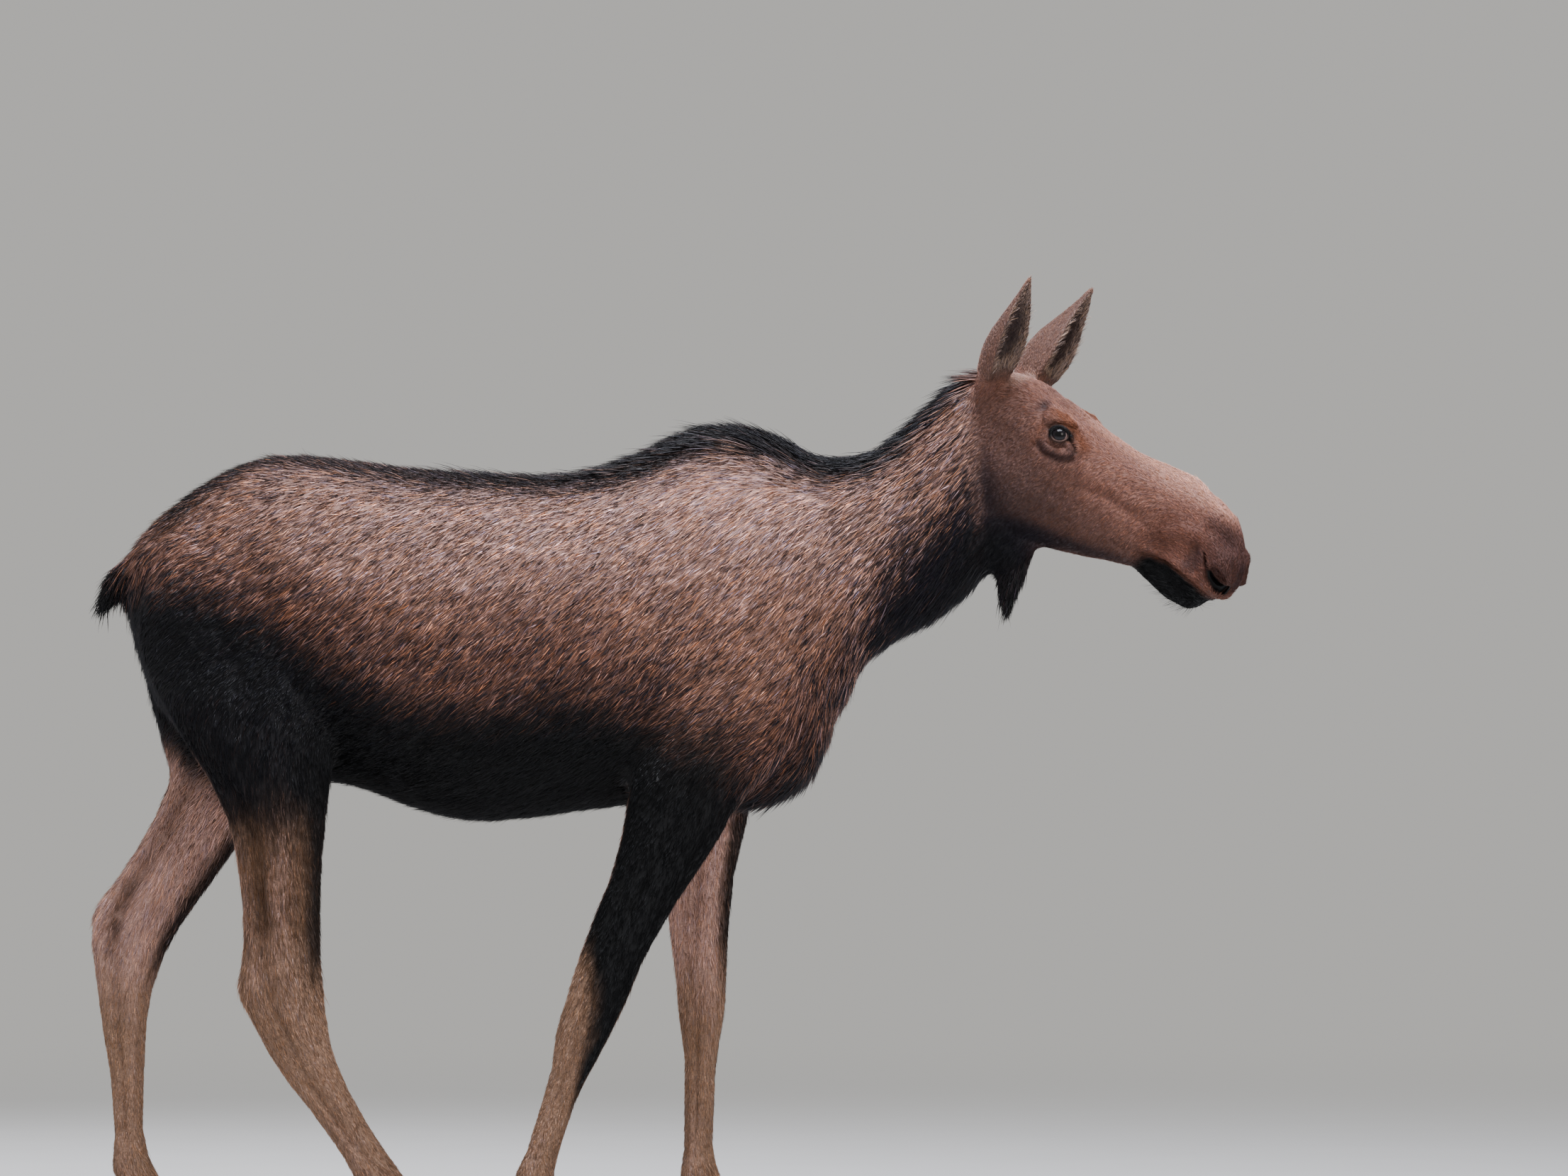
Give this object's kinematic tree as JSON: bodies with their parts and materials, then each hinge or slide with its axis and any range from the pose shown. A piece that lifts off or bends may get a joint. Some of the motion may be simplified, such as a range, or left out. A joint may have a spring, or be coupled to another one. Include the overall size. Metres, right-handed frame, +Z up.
{
  "type": "cow moose, walking, life-size",
  "caption": "Life-size antlerless moose in mid-stride with its head turned a little to its right, standing on its hooves.",
  "frame": {"origin": "on the floor, under the middle of the whole box", "axes": "+X the way the body faces, +Y the animal's left side, +Z up"},
  "size_m": [2.344, 0.526, 1.9753],
  "materials": {
    "brown": "brown coat streaked with black",
    "tawny": "short cinnamon-brown coat of the face",
    "dark": "charcoal to black coat",
    "tan": "short pinkish tan coat of ears and lower legs",
    "horn": "dark horn, slightly worn",
    "eye": "wet dark eye"
  },
  "bodies": {
    "root": {"trunk": "brown", "neck": "brown", "head": "tawny", "bell": "dark", "tail": "dark", "fore_right_forearm": "dark", "fore_left_forearm": "dark", "hind_right_thigh": "dark", "hind_left_thigh": "dark", "ear_left": "tan", "ear_right": "tan", "fore_right_cannon": "tan", "fore_right_pastern": "tan", "fore_left_cannon": "tan", "fore_left_pastern": "tan", "hind_right_cannon": "tan", "hind_right_pastern": "tan", "hind_left_cannon": "tan", "hind_left_pastern": "tan", "fore_right_hoof_a": "horn", "fore_right_hoof_b": "horn", "fore_right_dewclaw_a": "horn", "fore_right_dewclaw_b": "horn", "fore_left_hoof_a": "horn", "fore_left_hoof_b": "horn", "fore_left_dewclaw_a": "horn", "fore_left_dewclaw_b": "horn", "hind_right_hoof_a": "horn", "hind_right_hoof_b": "horn", "hind_right_dewclaw_a": "horn", "hind_right_dewclaw_b": "horn", "hind_left_hoof_a": "horn", "hind_left_hoof_b": "horn", "hind_left_dewclaw_a": "horn", "hind_left_dewclaw_b": "horn", "eye_left": "eye", "eye_right": "eye"}
  },
  "joints": []
}
